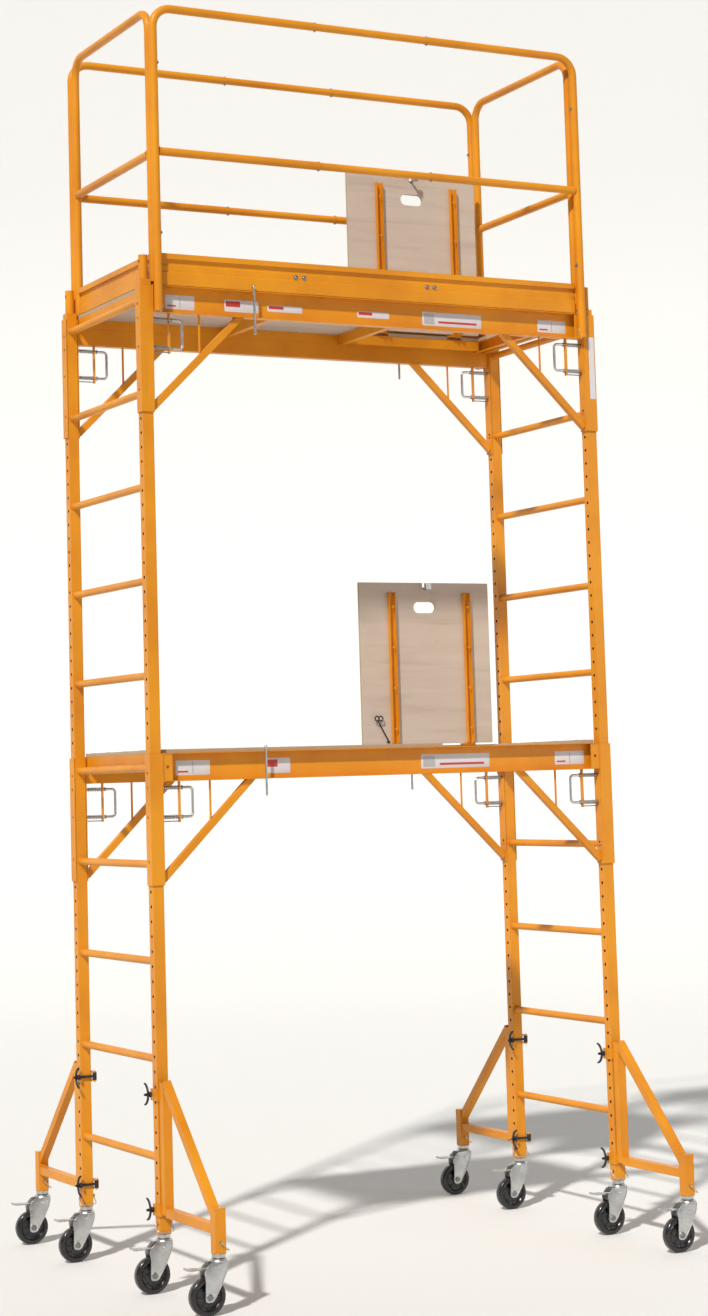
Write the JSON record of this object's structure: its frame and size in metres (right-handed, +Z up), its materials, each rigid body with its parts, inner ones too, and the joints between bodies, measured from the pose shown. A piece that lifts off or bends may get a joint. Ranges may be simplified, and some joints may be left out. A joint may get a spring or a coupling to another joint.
{
  "type": "baker scaffold",
  "caption": "Rolling two level baker scaffold with ladder end frames, sliding hatch platforms, outriggers, swivel casters and a guard rail.",
  "frame": {"origin": "ground level, under the middle of the object's bounding box", "axes": "+X along the length to the right end, +Y to the hatch hinge side (rear), +Z up"},
  "size_m": [2.0044, 1.663, 4.483],
  "materials": {
    "paint": "satin orange-yellow enamel over steel tube",
    "zinc": "bright zinc plated steel",
    "black_steel": "black coated forged steel",
    "wheel_black": "moulded black phenolic",
    "plywood": "sanded plywood, weathered grey tan"
  },
  "bodies": {
    "frame": {"frame_lower_left": "paint", "frame_lower_right": "paint", "frame_upper_left": "paint", "frame_upper_right": "paint", "outrigger_front_left": "paint", "outrigger_rear_left": "paint", "outrigger_front_right": "paint", "outrigger_rear_right": "paint", "caster_stems": "zinc", "caster_lock_pins": "zinc"},
    "clamps_front_left": {"clamps_front_left": "black_steel"},
    "clamps_rear_left": {"clamps_rear_left": "black_steel"},
    "clamps_front_right": {"clamps_front_right": "black_steel"},
    "clamps_rear_right": {"clamps_rear_right": "black_steel"},
    "caster_main_front_left": {"fork_main_front_left": "zinc"},
    "rolling_main_front_left": {"wheel_main_front_left": "wheel_black"},
    "pedal_main_front_left": {"brake_main_front_left": "zinc"},
    "caster_main_rear_left": {"fork_main_rear_left": "zinc"},
    "rolling_main_rear_left": {"wheel_main_rear_left": "wheel_black"},
    "pedal_main_rear_left": {"brake_main_rear_left": "zinc"},
    "caster_main_front_right": {"fork_main_front_right": "zinc"},
    "rolling_main_front_right": {"wheel_main_front_right": "wheel_black"},
    "pedal_main_front_right": {"brake_main_front_right": "zinc"},
    "caster_main_rear_right": {"fork_main_rear_right": "zinc"},
    "rolling_main_rear_right": {"wheel_main_rear_right": "wheel_black"},
    "pedal_main_rear_right": {"brake_main_rear_right": "zinc"},
    "caster_outer_front_left": {"fork_outer_front_left": "zinc"},
    "rolling_outer_front_left": {"wheel_outer_front_left": "wheel_black"},
    "pedal_outer_front_left": {"brake_outer_front_left": "zinc"},
    "caster_outer_rear_left": {"fork_outer_rear_left": "zinc"},
    "rolling_outer_rear_left": {"wheel_outer_rear_left": "wheel_black"},
    "pedal_outer_rear_left": {"brake_outer_rear_left": "zinc"},
    "caster_outer_front_right": {"fork_outer_front_right": "zinc"},
    "rolling_outer_front_right": {"wheel_outer_front_right": "wheel_black"},
    "pedal_outer_front_right": {"brake_outer_front_right": "zinc"},
    "caster_outer_rear_right": {"fork_outer_rear_right": "zinc"},
    "rolling_outer_rear_right": {"wheel_outer_rear_right": "wheel_black"},
    "pedal_outer_rear_right": {"brake_outer_rear_right": "zinc"},
    "platform_lower": {"side_bracket_front_lower": "paint", "side_bracket_rear_lower": "paint", "deck_frame_lower": "paint", "deck_board_lower": "plywood"},
    "pins_left_lower": {"lock_pins_left_lower": "zinc"},
    "pins_right_lower": {"lock_pins_right_lower": "zinc"},
    "hatch_lower": {"hatch_board_lower": "plywood", "hatch_bars_lower": "paint"},
    "latch_lower": {"hatch_latch_lower": "zinc"},
    "platform_upper": {"side_bracket_front_upper": "paint", "side_bracket_rear_upper": "paint", "deck_frame_upper": "paint", "deck_board_upper": "plywood", "guardrail_left_end": "paint", "guardrail_right_end": "paint", "guardrail_front": "paint", "guardrail_rear": "paint"},
    "pins_left_upper": {"lock_pins_left_upper": "zinc"},
    "pins_right_upper": {"lock_pins_right_upper": "zinc"},
    "hatch_upper": {"hatch_board_upper": "plywood", "hatch_bars_upper": "paint"},
    "latch_upper": {"hatch_latch_upper": "zinc"}
  },
  "joints": [
    {"name": "clamp_front_left", "type": "hinge", "parent": "frame", "child": "clamps_front_left", "pos_m": [-0.85275, -0.327, 0.467], "axis": [0, 0, -1], "range_deg": [0, 110]},
    {"name": "clamp_rear_left", "type": "hinge", "parent": "frame", "child": "clamps_rear_left", "pos_m": [-0.85275, 0.327, 0.467], "axis": [0, 0, 1], "range_deg": [0, 110]},
    {"name": "clamp_front_right", "type": "hinge", "parent": "frame", "child": "clamps_front_right", "pos_m": [0.99425, -0.327, 0.467], "axis": [0, 0, -1], "range_deg": [0, 110]},
    {"name": "clamp_rear_right", "type": "hinge", "parent": "frame", "child": "clamps_rear_right", "pos_m": [0.99425, 0.327, 0.467], "axis": [0, 0, 1], "range_deg": [0, 110]},
    {"name": "swivel_main_front_left", "type": "hinge", "parent": "frame", "child": "caster_main_front_left", "pos_m": [-0.88425, -0.3525, 0.16], "axis": [0, 0, 1], "continuous": true},
    {"name": "roll_main_front_left", "type": "hinge", "parent": "caster_main_front_left", "child": "rolling_main_front_left", "pos_m": [-0.92925, -0.3525, 0.0625], "axis": [0, 1, 0], "continuous": true},
    {"name": "brake_main_front_left", "type": "hinge", "parent": "caster_main_front_left", "child": "pedal_main_front_left", "pos_m": [-0.89025, -0.3525, 0.15], "axis": [0, -1, 0], "range_deg": [0, 12]},
    {"name": "swivel_main_rear_left", "type": "hinge", "parent": "frame", "child": "caster_main_rear_left", "pos_m": [-0.88425, 0.3525, 0.16], "axis": [0, 0, 1], "continuous": true},
    {"name": "roll_main_rear_left", "type": "hinge", "parent": "caster_main_rear_left", "child": "rolling_main_rear_left", "pos_m": [-0.92925, 0.3525, 0.0625], "axis": [0, 1, 0], "continuous": true},
    {"name": "brake_main_rear_left", "type": "hinge", "parent": "caster_main_rear_left", "child": "pedal_main_rear_left", "pos_m": [-0.89025, 0.3525, 0.15], "axis": [0, -1, 0], "range_deg": [0, 12]},
    {"name": "swivel_main_front_right", "type": "hinge", "parent": "frame", "child": "caster_main_front_right", "pos_m": [0.96275, -0.3525, 0.16], "axis": [0, 0, 1], "continuous": true},
    {"name": "roll_main_front_right", "type": "hinge", "parent": "caster_main_front_right", "child": "rolling_main_front_right", "pos_m": [0.91775, -0.3525, 0.0625], "axis": [0, 1, 0], "continuous": true},
    {"name": "brake_main_front_right", "type": "hinge", "parent": "caster_main_front_right", "child": "pedal_main_front_right", "pos_m": [0.95675, -0.3525, 0.15], "axis": [0, -1, 0], "range_deg": [0, 12]},
    {"name": "swivel_main_rear_right", "type": "hinge", "parent": "frame", "child": "caster_main_rear_right", "pos_m": [0.96275, 0.3525, 0.16], "axis": [0, 0, 1], "continuous": true},
    {"name": "roll_main_rear_right", "type": "hinge", "parent": "caster_main_rear_right", "child": "rolling_main_rear_right", "pos_m": [0.91775, 0.3525, 0.0625], "axis": [0, 1, 0], "continuous": true},
    {"name": "brake_main_rear_right", "type": "hinge", "parent": "caster_main_rear_right", "child": "pedal_main_rear_right", "pos_m": [0.95675, 0.3525, 0.15], "axis": [0, -1, 0], "range_deg": [0, 12]},
    {"name": "swivel_outer_front_left", "type": "hinge", "parent": "frame", "child": "caster_outer_front_left", "pos_m": [-0.88425, -0.8, 0.16], "axis": [0, 0, 1], "continuous": true},
    {"name": "roll_outer_front_left", "type": "hinge", "parent": "caster_outer_front_left", "child": "rolling_outer_front_left", "pos_m": [-0.92925, -0.8, 0.0625], "axis": [0, 1, 0], "continuous": true},
    {"name": "brake_outer_front_left", "type": "hinge", "parent": "caster_outer_front_left", "child": "pedal_outer_front_left", "pos_m": [-0.89025, -0.8, 0.15], "axis": [0, -1, 0], "range_deg": [0, 12]},
    {"name": "swivel_outer_rear_left", "type": "hinge", "parent": "frame", "child": "caster_outer_rear_left", "pos_m": [-0.88425, 0.8, 0.16], "axis": [0, 0, 1], "continuous": true},
    {"name": "roll_outer_rear_left", "type": "hinge", "parent": "caster_outer_rear_left", "child": "rolling_outer_rear_left", "pos_m": [-0.92925, 0.8, 0.0625], "axis": [0, 1, 0], "continuous": true},
    {"name": "brake_outer_rear_left", "type": "hinge", "parent": "caster_outer_rear_left", "child": "pedal_outer_rear_left", "pos_m": [-0.89025, 0.8, 0.15], "axis": [0, -1, 0], "range_deg": [0, 12]},
    {"name": "swivel_outer_front_right", "type": "hinge", "parent": "frame", "child": "caster_outer_front_right", "pos_m": [0.96275, -0.8, 0.16], "axis": [0, 0, 1], "continuous": true},
    {"name": "roll_outer_front_right", "type": "hinge", "parent": "caster_outer_front_right", "child": "rolling_outer_front_right", "pos_m": [0.91775, -0.8, 0.0625], "axis": [0, 1, 0], "continuous": true},
    {"name": "brake_outer_front_right", "type": "hinge", "parent": "caster_outer_front_right", "child": "pedal_outer_front_right", "pos_m": [0.95675, -0.8, 0.15], "axis": [0, -1, 0], "range_deg": [0, 12]},
    {"name": "swivel_outer_rear_right", "type": "hinge", "parent": "frame", "child": "caster_outer_rear_right", "pos_m": [0.96275, 0.8, 0.16], "axis": [0, 0, 1], "continuous": true},
    {"name": "roll_outer_rear_right", "type": "hinge", "parent": "caster_outer_rear_right", "child": "rolling_outer_rear_right", "pos_m": [0.91775, 0.8, 0.0625], "axis": [0, 1, 0], "continuous": true},
    {"name": "brake_outer_rear_right", "type": "hinge", "parent": "caster_outer_rear_right", "child": "pedal_outer_rear_right", "pos_m": [0.95675, 0.8, 0.15], "axis": [0, -1, 0], "range_deg": [0, 12]},
    {"name": "height_lower", "type": "slide", "parent": "frame", "child": "platform_lower", "axis": [0, 0, 1], "range_m": [-0.6096, 0]},
    {"name": "pull_left_lower", "type": "slide", "parent": "platform_lower", "child": "pins_left_lower", "axis": [1, 0, 0], "range_m": [0, 0.055]},
    {"name": "pull_right_lower", "type": "slide", "parent": "platform_lower", "child": "pins_right_lower", "axis": [-1, 0, 0], "range_m": [0, 0.055]},
    {"name": "hatch_lower", "type": "hinge", "parent": "platform_lower", "child": "hatch_lower", "pos_m": [0.57225, 0.3, 1.837], "axis": [1, 0, 0], "range_deg": [0, 90]},
    {"name": "latch_lower", "type": "hinge", "parent": "hatch_lower", "child": "latch_lower", "pos_m": [0.57225, 0.2925, 2.457], "axis": [1, 0, 0], "range_deg": [-25, 25]},
    {"name": "height_upper", "type": "slide", "parent": "frame", "child": "platform_upper", "axis": [0, 0, 1], "range_m": [-0.6096, 0]},
    {"name": "pull_left_upper", "type": "slide", "parent": "platform_upper", "child": "pins_left_upper", "axis": [1, 0, 0], "range_m": [0, 0.055]},
    {"name": "pull_right_upper", "type": "slide", "parent": "platform_upper", "child": "pins_right_upper", "axis": [-1, 0, 0], "range_m": [0, 0.055]},
    {"name": "hatch_upper", "type": "hinge", "parent": "platform_upper", "child": "hatch_upper", "pos_m": [0.57225, 0.3, 3.483], "axis": [1, 0, 0], "range_deg": [0, 90]},
    {"name": "latch_upper", "type": "hinge", "parent": "hatch_upper", "child": "latch_upper", "pos_m": [0.57225, 0.2925, 4.103], "axis": [1, 0, 0], "range_deg": [-25, 25]}
  ]
}
